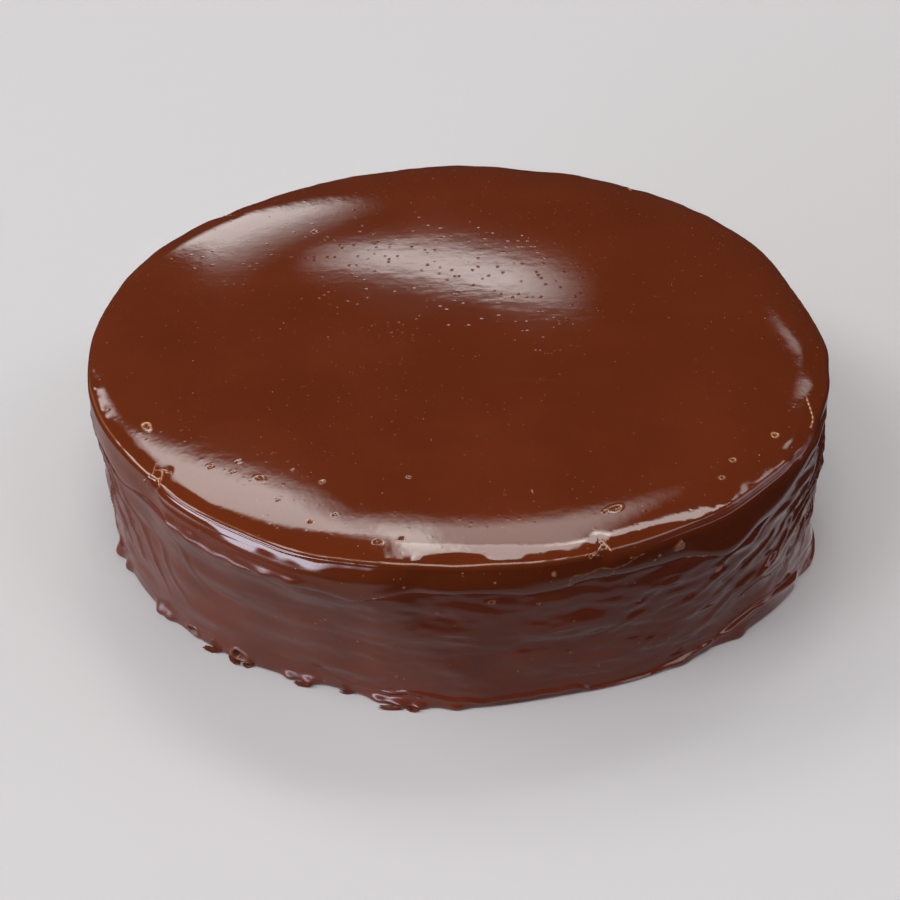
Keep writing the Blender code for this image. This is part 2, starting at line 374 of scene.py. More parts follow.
def pourSheet(points, lipTop):
    angles, radii = polar(points)
    heights = points[:, 2].copy()
    plain = wallRadius(heights)
    fromIn, wholeIn = glaze["wallShare"]
    onWall = ease(radii, plain - fromIn, plain - wholeIn)
    push = spread(angles, radii, heights)
    push += (sideWaves(angles, heights) + lumpPush(angles, heights)) * onWall
    edge = cake["lipCentreHeight"] - cake["curtainDrop"]
    for start, end, out, low, high in curtainLeans:
        share = np.clip((high * mm - heights) / ((high - low) * mm), 0.0, 1.0)
        push += out * mm * between(angles, start, end, glaze["leanFade"]) * share * onWall
    for middle, width, depth in lipNotches:
        share = ease(heights, edge + 4.0 * mm, lipTop[1])
        push -= depth * mm * swell(angles, middle, width) * share * onWall
    flat = np.zeros(len(angles))
    hang = 1.0 - ease(heights, edge + 2.0 * mm, lipTop[1] - 2.0 * mm)
    hang[radii < cake["lipRadius"] - 20.0 * mm] = 0.0
    points[:, 2] -= curtainSag(angles) * hang
    nearLip = np.exp(-(((radii - lipTop[0]) / glaze["wobbleReach"]) ** 2))
    nearLip *= ease(heights, 55.0 * mm, 59.0 * mm)
    for length, depth, seed in glaze["lipWobble"]:
        wobble = turnNoise(angles, flat, length, 1.0, seed=seed)
        points[:, 2] += depth * wobble * nearLip
        push += glaze["wobbleOut"] * depth * wobble * nearLip
    length, depth = glaze["topWave"]
    across = np.column_stack((points[:, 0] / length, points[:, 1] / length, flat))
    points[:, 2] += 2.0 * depth * noiseAt(across) * (1.0 - onWall)
    fromX, toX, y, width, height, slant = glaze["topRidge"]
    x, away = points[:, 0] / mm, points[:, 1] / mm - y
    along = np.clip((x - fromX) / (toX - fromX), 0.0, 1.0)
    ridge = np.sin(math.pi * along) * np.exp(-(((away + slant * x) / width) ** 2))
    points[:, 2] += height * mm * ridge * (1.0 - onWall)
    pushOut(points, angles, push)


def pressBlisters(points):
    # each burst bubble is a raised ring round a small pit; returns how tan each point is
    tan = np.zeros(len(points))
    onTop = points[:, 2] > 50.0 * mm
    for x, y, ring, stretch, pit, rim, colour in blisters:
        turn = math.atan2(y, x) + math.pi / 2.0  # long ways round the cake
        dx, dy = points[:, 0] - x * mm, points[:, 1] - y * mm
        along = (dx * math.cos(turn) + dy * math.sin(turn)) / stretch
        away = -dx * math.sin(turn) + dy * math.cos(turn)
        apart = np.hypot(along, away) / (ring * mm)
        apart = apart * (1.0 + 0.08 * np.sin(3.0 * np.arctan2(away, along) + x))
        crest = np.exp(-(((apart - 1.0) / 0.24) ** 2)) * onTop
        well = np.exp(-((apart / 0.62) ** 2)) * onTop
        points[:, 2] += rim * mm * crest - pit * mm * well
        tan = np.maximum(tan, crest * colour)
    return tan


def softenRoute(route, steps=5):
    # a smooth curve through the thread's own points
    ends = [route[0]] + list(route) + [route[-1]]
    points = []
    for a, b, c, d in zip(ends, ends[1:], ends[2:], ends[3:]):
        for step in range(steps):
            t = step / steps
            points.append(tuple(
                0.5 * (2.0 * q + (r - p) * t + (2.0 * p - 5.0 * q + 4.0 * r - u) * t**2
                       + (3.0 * q - p - 3.0 * r + u) * t**3)
                for p, q, r, u in zip(a, b, c, d)
            ))
    return points + [route[-1]]


def threadGap(angles, runs, route):
    # how far each point is from a drawn thread, in millimetres
    gap = np.full(len(angles), 1e3)
    perDegree = math.radians(1.0) * glaze["lipReach"] / mm
    middle = sum(angle for angle, run in route) / len(route)
    turned = degreesFrom(angles, middle)
    near = np.abs(turned) < 9.0
    across, up = turned[near] * perDegree, runs[near] / mm
    best = gap[near]
    places = [((angle - middle) * perDegree, run) for angle, run in softenRoute(route)]
    for (x, y), (nextX, nextY) in zip(places, places[1:]):
        spanX, spanY = nextX - x, nextY - y
        share = np.clip(((across - x) * spanX + (up - y) * spanY) / (spanX**2 + spanY**2 + 1e-9), 0.0, 1.0)
        best = np.minimum(best, np.hypot(across - x - share * spanX, up - y - share * spanY))
    gap[near] = best
    return gap


def bubbleGap(angles, runs, angle, run):
    return np.hypot(arcFrom(angles, angle, glaze["lipReach"]), runs / mm - run)


def raiseThreads(points, normals, runs):
    # threads and curtain bubbles stand up along the surface's own normals
    angles = polar(points)[0]
    tan, lift = np.zeros(len(points)), np.zeros(len(points))
    for route, width, height, colour in threads:
        body = np.exp(-((threadGap(angles, runs, route) / width) ** 2))
        body = body * (0.8 + 0.4 * np.sin(runs / mm * 2.1 + np.degrees(angles) * 4.7))
        lift = np.maximum(lift, height * body)
        tan = np.maximum(tan, colour * body)
    for angle, run, radius, height, colour in curtainBubbles:
        gap = bubbleGap(angles, runs, angle, run) / radius
        gap = gap * (1.0 + 0.12 * np.sin(5.0 * np.degrees(angles) + runs / mm))
        dome = np.sqrt(np.clip(1.0 - gap**2, 0.0, 1.0))
        lift = np.maximum(lift, height * dome)
        tan = np.maximum(tan, colour * dome * (0.45 + 0.55 * np.sin(9.0 * gap + angle) ** 2))
    # a lighter tan strip on the bright lip line, front left only: partly thin glaze, partly a painted
    # highlight
    lipLineTanAndHighlight = glaze["lineTanAndHighlight"] * np.exp(-((runs / glaze["lineWidth"]) ** 2))
    tan = np.maximum(tan, lipLineTanAndHighlight * between(angles, *glaze["lineEnds"]))
    points += normals * (lift * mm)[:, None]
    return tan


def readNormals(piece):
    normals = np.empty(len(piece.data.vertices) * 3)
    piece.data.vertex_normals.foreach_get("vector", normals)
    return normals.reshape(-1, 3)


def selectNear(piece, wanted):
    # wanted takes the faces' middles and says which of the faces to select
    mesh = piece.data
    loops = np.empty(len(mesh.loops), np.int32)
    starts, counts = np.empty(len(mesh.polygons), np.int32), np.empty(len(mesh.polygons), np.int32)
    mesh.loops.foreach_get("vertex_index", loops)
    mesh.polygons.foreach_get("loop_start", starts)
    mesh.polygons.foreach_get("loop_total", counts)
    chosen = wanted(np.add.reduceat(readPoints(piece)[loops], starts) / counts[:, None])
    deselectAll()
    piece.select_set(True)
    bpy.context.view_layer.objects.active = piece
    bpy.ops.object.mode_set(mode="EDIT")
    bpy.ops.mesh.select_mode(type="FACE")
    bpy.ops.mesh.select_all(action="DESELECT")
    bpy.ops.object.mode_set(mode="OBJECT")
    mesh.polygons.foreach_set("select", chosen)
    bpy.ops.object.mode_set(mode="EDIT")


def nearBlisters(middles):
    angles, radii = polar(middles)
    share = 1.0 + spread(angles, radii, middles[:, 2]) / radii
    near = np.zeros(len(middles), bool)
    for x, y, ring, stretch, pit, rim, colour in blisters:
        reach = (1.4 * ring * stretch + 0.9) * mm
        near |= np.hypot(middles[:, 0] * share - x * mm, middles[:, 1] * share - y * mm) < reach
    return near & (middles[:, 2] > 57.0 * mm)


def nearThreads(middles, lipTop):
    angles, runs = polar(middles)[0], runAlong(middles, lipTop)
    near = np.zeros(len(middles), bool)
    for route, width, height, colour in threads:
        near |= threadGap(angles, runs, route) < 0.9
    for angle, run, radius, height, colour in curtainBubbles:
        near |= bubbleGap(angles, runs, angle, run) < radius + 0.5
    return near


def glazeSheet(material):
    rows, lipTop = glazeProfile()
    sheet = startRing("glazeSheet", glaze["segments"], *rows[0])
    growRows(rows)
    bpy.ops.mesh.fill_grid(span=glaze["segments"] // 4, offset=0)
    bpy.ops.object.mode_set(mode="OBJECT")
    selectNear(sheet, lambda middles: nearBlisters(middles) | nearThreads(middles, lipTop))
    bpy.ops.mesh.subdivide(number_cuts=3)
    bpy.ops.object.mode_set(mode="OBJECT")
    points = readPoints(sheet)
    radii = polar(points)[1]
    inner = radii < glaze["innerRadius"] - 0.01 * mm
    points[inner, 2] = lipTop[1] + shoulderRise(lipTop[0] - radii[inner], lipTop[1])
    runs = runAlong(points, lipTop)
    pourSheet(points, lipTop)
    writePoints(sheet, points)
    tan = raiseThreads(points, readNormals(sheet), runs)
    tan = np.maximum(tan, pressBlisters(points))
    writePoints(sheet, points)
    paintPoints(sheet, "tanEdgeAndLineHighlight", tan)
    low = 1.0 - ease(points[:, 2], *glaze["hazyHeights"])
    angles = polar(points)[0]
    run, width, strength, start, end, fade = glaze["hazyBand"]
    band = strength * np.exp(-(((runs - run) / width) ** 2)) * between(angles, start, end, fade)
    paintPoints(sheet, "haze", np.maximum(leftShare(angles, glaze["hazyLeft"]) * low, band))
    rising, risen, falling, fallen = glaze["rumpleRuns"]
    paintPoints(sheet, "rumple", ease(runs, rising, risen) * (1.0 - ease(runs, falling, fallen)))
    finishPiece(sheet, material)
    print("glaze sheet:", countTriangles(sheet), "triangles")
    return sheet


# The side coat: the leaning side, its foot skirt and the flat underside.
side = dict(
    segments=1000,
    topHeight=57.0 * mm,
    footRows=17, rows=52,  # closer rows in the lowest part
    footHeight=8.0 * mm,
    flare=1.0 * mm,  # the glaze is fuller just under the curtain
    hazyFlare=1.3 * mm,  # and fuller still on the left of the front
    tuck=1.6 * mm,  # how far its top hides behind the curtain
    tuckStart=0.9 * mm, tuckRise=1.8 * mm,
    leanFrom=8.0,  # the wall starts to follow the leaning curtain at this height in millimetres
    ripples=(  # length, rise, depth, seed
        (11.0 * mm, 3.0 * mm, 0.24 * mm, 3.1), (5.5 * mm, 1.7 * mm, 0.12 * mm, 9.7),
    ),
    rippleSlant=0.8, rippleCalm=(-130, 24, 1.2), calmShare=0.85,  # the left of the front is smoother
    skirtHeight=4.2 * mm, skirtOut=0.8 * mm, skirtLip=0.45 * mm, skirtLeast=1.6 * mm,
    skirtWaves=((26.0 * mm, 1.1, 2.6), (8.0 * mm, 0.5, 6.1)),  # length, share of its height, seed
    skirtCalm=(-132, 30, 1.5), skirtCalmShare=0.92,
)
# The thick fold that stands out at the foot on the right.
thickFold = dict(
    low=2.0 * mm, arch=3.4 * mm, middle=-38.0, halfWidth=7.5,  # its edge rises towards the middle
    start=-46.0, end=-30.0, fade=3.5, out=1.3 * mm, lip=0.45 * mm,
)
# Folds dragged across the side: start angle and height, end angle and height, half width and how far
# they stand proud (millimetres).
sideFolds = (
    (-51.5, 40.0, -45.0, 43.5, 1.0, 0.55), (-46.0, 42.0, -36.0, 48.0, 0.9, 0.60),
    (-42.9, 17.7, -32.1, 32.5, 1.1, 0.75), (-33.0, 31.0, -22.0, 43.0, 1.0, 0.80),
    (-36.0, 12.0, -20.0, 33.0, 0.9, 0.70), (-30.0, 14.0, -15.0, 40.0, 1.0, 0.80),
    (-40.0, 30.0, -27.0, 45.0, 0.9, 0.70), (-36.5, 22.0, -24.0, 39.0, 0.8, 0.65),
    (-54.0, 22.0, -38.0, 35.0, 1.2, 0.50), (-52.0, 14.0, -40.0, 25.0, 1.1, 0.45),
    (-60.0, 26.0, -48.0, 36.0, 1.1, 0.40), (-48.0, 28.0, -37.0, 38.0, 1.0, 0.50),
    (-26.0, 12.0, -12.0, 46.0, 1.0, 0.75), (-31.0, 36.0, -19.0, 54.0, 0.8, 0.70),
    (-27.0, 30.0, -15.5, 53.0, 0.8, 0.70), (-24.0, 22.0, -12.0, 52.0, 0.8, 0.65),
    (-64.0, 14.0, -52.0, 24.0, 1.1, 0.35),
    (-72.0, 22.0, -61.0, 31.0, 1.1, 0.30), (-66.0, 33.0, -57.0, 42.0, 1.1, 0.35),
    (-144.3, 38.9, -136.0, 15.9, 1.2, 0.40), (-152.0, 46.0, -141.0, 14.0, 1.0, 0.55),
    (-157.0, 50.0, -147.0, 16.0, 0.9, 0.65), (-163.0, 48.0, -152.0, 14.0, 0.9, 0.65),
    (-168.0, 46.0, -158.0, 12.0, 1.0, 0.60), (-138.0, 47.0, -130.0, 26.0, 1.2, 0.25),
    (150.0, 14.0, 164.0, 38.0, 1.1, 0.55), (168.0, 12.0, 177.0, 40.0, 1.1, 0.60),
    (20.0, 14.0, 34.0, 36.0, 1.1, 0.55), (2.0, 18.0, 14.0, 44.0, 1.0, 0.60),
    (62.0, 18.0, 74.0, 40.0, 1.2, 0.50), (100.0, 40.0, 114.0, 16.0, 1.1, 0.50),
    (128.0, 42.0, 139.0, 18.0, 1.1, 0.45),
)
# Shallow hollows pressed in the side: angle, height, half length, half height, depth (millimetres).
sideHollows = (
    (-125.8, 26.5, 4.4, 2.0, 0.30), (-115.8, 33.4, 2.4, 1.2, 0.22), (-121.7, 34.4, 2.6, 1.2, 0.20),
    (-132.0, 31.0, 2.6, 1.4, 0.16), (-84.0, 33.0, 5.5, 2.4, 0.40), (-96.0, 22.0, 4.5, 2.0, 0.30),
    (-32.0, 17.9, 1.5, 3.4, 1.10), (-72.5, 39.0, 3.8, 2.2, 0.35), (-29.0, 27.0, 1.0, 3.2, 0.70),
)
# Lobes at the foot: middle and half width in degrees, millimetres outwards and high.
footLobes = (
    (-161.5, 1.5, 2.6, 4.2), (-157.2, 1.2, 1.6, 3.0), (-144.5, 1.3, 2.2, 3.6), (-142.2, 1.2, 1.6, 3.0),
    (-117.6, 1.4, 1.8, 2.6), (-114.4, 1.5, 2.0, 2.8), (-103.0, 1.6, 1.6, 2.4), (-99.6, 2.0, 1.8, 2.6),
    (-96.4, 1.2, 1.5, 2.2), (-91.0, 1.6, 1.2, 2.2), (-55.0, 2.2, 1.1, 2.8), (-44.0, 1.6, 1.4, 3.2),
    (-20.0, 5.0, 1.6, 12.0), (28, 3.0, 1.8, 4.0), (71, 2.2, 2.0, 3.5), (112, 2.6, 1.8, 3.8),
    (131, 2.0, 2.2, 3.5), (160, 2.4, 1.8, 4.0),
)
# Burst bubbles of the side and foot: angle, height, ring radius, length over width, pit, rim, tan.
# A pit of less than nothing is a bubble that stands whole.
sideBlisters = (
    (-50.8, 37.6, 1.1, 1.0, -0.5, 0.10, 0.9), (-136.2, 2.6, 1.9, 1.5, 1.8, 0.6, 0.06),
    (-126.6, 2.8, 2.1, 1.5, 2.0, 0.7, 0.10), (-86.0, 45.8, 0.6, 1.6, 0.3, 0.12, 0.5),
    (-79.4, 43.6, 0.4, 1.3, 0.2, 0.12, 0.6), (-93.6, 41.5, 0.35, 1.3, 0.2, 0.12, 0.6),
    (-100.0, 12.0, 0.35, 1.0, 0.2, 0.12, 0.5), (-74.0, 19.0, 0.35, 1.0, 0.2, 0.12, 0.5),
    (-64.0, 36.0, 0.4, 1.2, 0.2, 0.12, 0.7), (14.0, 30.0, 0.8, 1.3, 0.4, 0.15, 0.6),
    (58.0, 3.0, 2.0, 1.4, 1.6, 0.6, 0.08), (92.0, 24.0, 0.9, 1.2, 0.4, 0.15, 0.7),
    (144.0, 3.0, 2.0, 1.4, 1.7, 0.6, 0.08),
)


def foldPush(angles, heights):
    # each fold is a low ridge from its start to its end, thin at both, with a crease above it
    push = np.zeros(len(angles))
    for fromAngle, fromHeight, toAngle, toHeight, width, proud in sideFolds:
        along = arcFrom(angles, fromAngle, cake["lipRadius"])
        length = math.radians(toAngle - fromAngle) * cake["lipRadius"] / mm
        rise = toHeight - fromHeight
        up = heights / mm - fromHeight
        reach = math.hypot(length, rise)
        share = (along * length + up * rise) / reach**2
        inside = np.clip(share, -0.15, 1.15)
        offset = np.hypot(along - inside * length, up - inside * rise)
        offset *= np.sign(along * rise - up * length)
        offset += 0.9 * np.sin(6.0 * inside + fromAngle)  # folds wander a little
        body = np.exp(-((offset / width) ** 2)) - 0.35 * np.exp(-(((offset + 1.7 * width) / width) ** 2))
        push += proud * mm * body * ease(share, -0.15, 0.3) * (1.0 - ease(share, 0.7, 1.15))
    return push


def hollowPush(angles, heights):
    push = np.zeros(len(angles))
    for angle, height, halfLength, halfHeight, depth in sideHollows:
        across = arcFrom(angles, angle, cake["lipRadius"]) / halfLength
        up = (heights / mm - height) / halfHeight
        push -= depth * mm * np.exp(-((across - 0.25 * up) ** 2) - up**2)
    return push


def skirtPush(angles, heights):
    # the glaze that ran down and set round the foot: it ends upwards in a low wavy lip
    flat = np.zeros(len(angles))
    top = np.full(len(angles), side["skirtHeight"])
    for length, waviness, seed in side["skirtWaves"]:
        top += side["skirtHeight"] * waviness * turnNoise(angles, flat, length, 1.0, seed=seed)
    top = np.maximum(top, side["skirtLeast"])
    share = 1.0 - side["skirtCalmShare"] * leftShare(angles, side["skirtCalm"])
    share -= between(angles, thickFold["start"] - 1.0, thickFold["end"] + 3.0, thickFold["fade"] + 0.5)
    body = 1.0 - ease(heights, top - 0.9 * mm, top + 0.5 * mm)
    lip = np.exp(-(((heights - top + 0.8 * mm) / (0.65 * mm)) ** 2))
    return (side["skirtOut"] * body + side["skirtLip"] * lip) * np.clip(share, 0.0, 1.0)


def footFold(angles, heights):
    arch = thickFold["arch"] * swell(angles, thickFold["middle"], thickFold["halfWidth"])
    middle = thickFold["low"] + arch
    share = between(angles, thickFold["start"], thickFold["end"], thickFold["fade"])
    body = 1.0 - ease(heights, middle + 2.2 * mm, middle + 3.2 * mm)
    lip = np.exp(-(((heights - middle - 2.0 * mm) / (0.7 * mm)) ** 2))
    return (thickFold["out"] * body + thickFold["lip"] * lip) * share


def sidePush(angles, heights):
    push = outlinePush(angles, heights) + sideWaves(angles, heights) + lumpPush(angles, heights)
    push += side["flare"] * ease(heights, 24.0 * mm, 48.0 * mm)
    push += side["hazyFlare"] * swell(angles, -140, 24) * ease(heights, 30.0 * mm, 49.0 * mm)
    push += skirtPush(angles, heights) + footFold(angles, heights)
    for middle, width, out, high in footLobes:
        fade = 1.0 - ease(heights, 0.3 * high * mm, 1.5 * high * mm)
        push += out * mm * swell(angles, middle, width) * fade
    calm = 1.0 - side["calmShare"] * leftShare(angles, side["rippleCalm"])
    share = ease(heights, 3.0 * mm, 8.0 * mm)
    for length, rise, depth, seed in side["ripples"]:
        waves = turnNoise(angles, heights, length, rise, slant=side["rippleSlant"], seed=seed)
        push += 2.0 * depth * waves * share * calm
    return push + (foldPush(angles, heights) + hollowPush(angles, heights)) * share


def sideProfile():
    foot = cake["footRadius"]
    rows = [(foot - 1.6 * mm, 0.0), (foot - 0.5 * mm, 0.1 * mm), (foot - 0.1 * mm, 0.45 * mm)]
    rows += [(foot + 0.05 * mm, 0.9 * mm)]
    low, high = rows[-1][1], side["footHeight"]
    for start, end, count in ((low, high, side["footRows"]), (high, side["topHeight"], side["rows"])):
        for row in range(1, count + 1):
            height = start + (end - start) * row / count
            rows.append((float(wallRadius(np.array(height))), height))
    top = rows[-1]
    return rows + [(top[0] - 3.0 * mm, top[1] + 0.3 * mm)]


def sideBlisterGap(points, angle, height, stretch):
    angles = polar(points)[0]
    across = arcFrom(angles, angle, cake["lipRadius"])
    up = points[:, 2] / mm - height
    gap = np.hypot(across / stretch, up)
    return gap * (1.0 + 0.10 * np.sin(3.0 * np.arctan2(up, across) + angle))


def pressSideBlisters(points):
    angles = polar(points)[0]
    tan, push = np.zeros(len(points)), np.zeros(len(points))
    onSide = points[:, 2] > 0.3 * mm
    for angle, height, ring, stretch, pit, rim, colour in sideBlisters:
        apart = sideBlisterGap(points, angle, height, stretch) / ring
        crest = np.exp(-(((apart - 1.0) / 0.26) ** 2)) * onSide
        well = np.exp(-((apart / 0.66) ** 2)) * onSide
        push += rim * mm * crest - pit * mm * well
        tan = np.maximum(tan, colour * (crest if pit > 0.0 else np.maximum(crest, well)))
    pushOut(points, angles, push)
    return tan


def nearSideDetail(middles):
    angles, heights = np.degrees(polar(middles)[0]), middles[:, 2]
    near = (angles > -51.0) & (angles < -26.0) & (heights < 8.0 * mm)  # the thick fold
    for angle, height, ring, stretch, pit, rim, colour in sideBlisters:
        near |= sideBlisterGap(middles, angle, height, stretch) < 1.5 * ring + 0.7
    return near & (heights > 0.05 * mm)


def sideCoat(material):
    rows = sideProfile()
    coat = startRing("sideCoat", side["segments"], *rows[0])
    growRows(rows)
    # the underside: the lowest ring is closed with rings and a flat middle
    bpy.ops.mesh.select_all(action="DESELECT")
    mesh = bmesh.from_edit_mesh(coat.data)
    for edge in mesh.edges:
        edge.select_set(edge.is_boundary and max(v.co.z for v in edge.verts) < 0.05 * mm)
    bmesh.update_edit_mesh(coat.data)
    growRows([rows[0], (rows[0][0] - 20.0 * mm, 0.0)])
    bpy.ops.mesh.edge_face_add()
    bpy.ops.object.mode_set(mode="OBJECT")
    selectNear(coat, nearSideDetail)
    bpy.ops.mesh.subdivide(number_cuts=2)
    bpy.ops.object.mode_set(mode="OBJECT")
    points = readPoints(coat)
    angles, radii = polar(points)
    heights = points[:, 2].copy()
    onWall = ease(radii, cake["footRadius"] - 12.0 * mm, cake["footRadius"] - 2.0 * mm)
    hidden = cake["lipCentreHeight"] - cake["curtainDrop"] - curtainSag(angles) + side["tuckStart"]
    lean = np.zeros(len(angles))
    for start, end, out, low, high in curtainLeans:  # the wall follows the leaning curtain
        share = np.clip((heights / mm - side["leanFrom"]) / (low - side["leanFrom"]), 0.0, 1.0)
        lean += out * mm * between(angles, start, end, glaze["leanFade"]) * share
    push = (sidePush(angles, heights) + lean) * onWall
    push -= side["tuck"] * ease(heights, hidden, hidden + side["tuckRise"])
    pushOut(points, angles, push)
    tan = pressSideBlisters(points)
    writePoints(coat, points)
    paintPoints(coat, "tanEdgeAndLineHighlight", tan)
    paintPoints(coat, "haze", leftShare(angles, glaze["hazyLeft"]))
    finishPiece(coat, material)
    print("side coat:", countTriangles(coat), "triangles")
    return coat


# Thin shards of set glaze that broke off along the foot and lie against it.
shards = dict(
    sides=14, thick=0.35 * mm, curl=0.9 * mm, ragged=0.45, raggedScale=1.7,
    foundAt=1.2 * mm,  # the height at which the foot's surface is looked for
    # angle, how far out from the foot, half length, half width in millimetres, turn in degrees
    places=(
        (-131.5, 0.9, 3.4, 1.3, 24.0), (-127.2, 1.2, 2.6, 1.0, -12.0), (-124.8, 0.8, 1.8, 0.9, 30.0),
        (-115.0, 0.6, 3.0, 1.0, 6.0), (-100.5, 0.9, 4.4, 1.1, 9.0), (-97.6, 0.7, 2.4, 0.9, -14.0),
        (-108.0, 0.4, 2.6, 0.8, 10.0),
        (-5.0, 0.6, 2.4, 0.9, 10.0), (38.0, 0.8, 2.8, 1.1, -16.0), (86.0, 0.7, 2.0, 0.9, 18.0),
        (121.0, 0.9, 3.2, 1.2, -6.0), (158.0, 0.6, 1.8, 0.8, 14.0),
    ),
)


outside = 160.0 * mm  # from here the glaze is looked for, inwards


def footShards(coat, material):
    bpy.context.view_layer.update()
    pieces = []
    for angle, out, length, width, turn in shards["places"]:
        outward = Vector((math.cos(math.radians(angle)), math.sin(math.radians(angle)), 0.0))
        start = outward * outside + Vector((0.0, 0.0, shards["foundAt"]))
        hit, place, normal, face = coat.ray_cast(start, -outward, distance=0.5 * outside)
        if not hit:
            continue
        deselectAll()
        bpy.ops.mesh.primitive_cylinder_add(vertices=shards["sides"], radius=1.0, depth=1.0)
        shard = bpy.context.object
        points = readPoints(shard)
        ragged = 1.0 + shards["ragged"] * noiseAt(points * shards["raggedScale"] + angle)
        away = points[:, 0] ** 2
        points[:, 0] *= length * mm * ragged
        points[:, 1] *= width * mm * ragged
        points[:, 2] = (points[:, 2] + 0.5) * shards["thick"] + shards["curl"] * away
        writePoints(shard, points)
        facing = Matrix.Rotation(math.radians(angle + 90.0 + turn), 4, "Z")
        foot = Vector((place.x, place.y, 0.0)) + outward * out * mm
        shard.data.transform(Matrix.Translation(foot) @ facing)
        pieces.append(shard)
    joined = joinPieces(pieces, "footShards")
    finishPiece(joined, material)
    print("foot shards:", len(pieces), "shards,", countTriangles(joined), "triangles")
    return joined


# Pimples and specks set in the glaze: one small dome, copied and joined.
specks = dict(
    seed=11,
    onTop=420, onSide=200, sideHeights=(6.0 * mm, 58.0 * mm),
    small=0.10 * mm, large=0.26 * mm,
    cluster=34.0 * mm, strictness=0.12,  # the size of their clusters, and how well they keep to them
    nearLip=0.35,  # how much denser they are near the lip
    flattest=0.9,  # on the top they stay where the glaze is nearly level
    sunk=0.35,
)


def speckPlaces(sheet, coat):
    # where each speck sits: a place on the glaze and the direction it stands in
    chance = random.Random(specks["seed"])
    bpy.context.view_layer.update()
    top, sides = [], []
    while len(top) < specks["onTop"]:
        turn, away = chance.uniform(0.0, 2.0 * math.pi), cake["lipRadius"] * math.sqrt(chance.random())
        start = Vector((away * math.cos(turn), away * math.sin(turn), 80.0 * mm))
        crowding = noise.noise(start / specks["cluster"])
        crowding += specks["nearLip"] * (away / cake["lipRadius"]) ** 4
        if crowding < specks["strictness"] * chance.random() * 3.0:
            continue
        hit, place, normal, face = sheet.ray_cast(start, Vector((0.0, 0.0, -1.0)))
        if hit and normal.z > specks["flattest"]:
            top.append((place, normal))
    while len(sides) < specks["onSide"]:
        turn, height = chance.uniform(0.0, 2.0 * math.pi), chance.uniform(*specks["sideHeights"])
        outward = Vector((math.cos(turn), math.sin(turn), 0.0))
        start = outward * outside + Vector((0.0, 0.0, height))
        for piece in (sheet, coat):
            hit, place, normal, face = piece.ray_cast(start, -outward, distance=50.0 * mm)
            if hit:
                sides.append((place, normal))
                break
    return top + sides, chance


def glazeSpecks(sheet, coat, material):
    places, chance = speckPlaces(sheet, coat)
    deselectAll()
    bpy.ops.mesh.primitive_uv_sphere_add(segments=8, ring_count=5, radius=1.0)
    dome = bpy.context.object
    copies = []
    for place, normal in places:
        size = specks["small"] + (specks["large"] - specks["small"]) * chance.random() ** 2.5
        copy = dome.copy()
        copy.data = dome.data.copy()
        turn = normal.to_track_quat("Z", "Y").to_matrix().to_4x4()
        long, flat = chance.uniform(0.8, 1.5), chance.uniform(0.35, 0.7)
        shape = Matrix.Diagonal((size * long, size, size * flat, 1.0))
        spin = Matrix.Rotation(chance.uniform(0.0, math.pi), 4, "Z")
        sunk = place - normal * size * specks["sunk"] * 0.5
        copy.data.transform(Matrix.Translation(sunk) @ turn @ spin @ shape)
        scene.collection.objects.link(copy)
        copies.append(copy)
    bpy.data.objects.remove(dome)
    joined = joinPieces(copies, "glazeSpecks")
    tans = np.array([chance.random() ** 3 for place in places])
    paintPoints(joined, "tanEdgeAndLineHighlight", np.repeat(tans, len(joined.data.vertices) // len(places)))
    finishPiece(joined, material)
    print("glaze specks:", len(places), "specks,", countTriangles(joined), "triangles")
    return joined


# Shader groups and materials.
def newGroup(name, inputs, outputs):
    group = bpy.data.node_groups.new(name, "ShaderNodeTree")
    for label, kind, value in inputs:
        socket = group.interface.new_socket(name=label, in_out="INPUT", socket_type=kind)
        socket.default_value = value
    for label, kind in outputs:
        group.interface.new_socket(name=label, in_out="OUTPUT", socket_type=kind)
    return group, group.nodes.new("NodeGroupInput"), group.nodes.new("NodeGroupOutput")


def fillSocket(tree, socket, value):
    # a socket takes another node's output or a plain value
    if isinstance(value, bpy.types.NodeSocket):
        tree.links.new(value, socket)
    else:
        socket.default_value = value


def addNode(tree, kind, inputs=None, **settings):
    node = tree.nodes.new(kind)
    for key, value in settings.items():
        setattr(node, key, value)
    for key, value in (inputs or {}).items():
        fillSocket(tree, node.inputs[key], value)
    return node


def addMath(tree, operation, *values):
    return addNode(tree, "ShaderNodeMath", dict(enumerate(values)), operation=operation).outputs["Value"]


def addRange(tree, value, low, high, toLow=0.0, toHigh=1.0, kind="LINEAR"):
    ends = {"Value": value, "From Min": low, "From Max": high, "To Min": toLow, "To Max": toHigh}
    return addNode(tree, "ShaderNodeMapRange", ends, interpolation_type=kind).outputs["Result"]


def addMix(tree, kind, share, first, second):
    mix = addNode(tree, "ShaderNodeMix", {"Factor": share, "A": first, "B": second}, data_type=kind)
    return mix.outputs["Result"]


def addShaderMix(tree, share, first, second):
    return addNode(tree, "ShaderNodeMixShader", {"Fac": share, 1: first, 2: second}).outputs["Shader"]


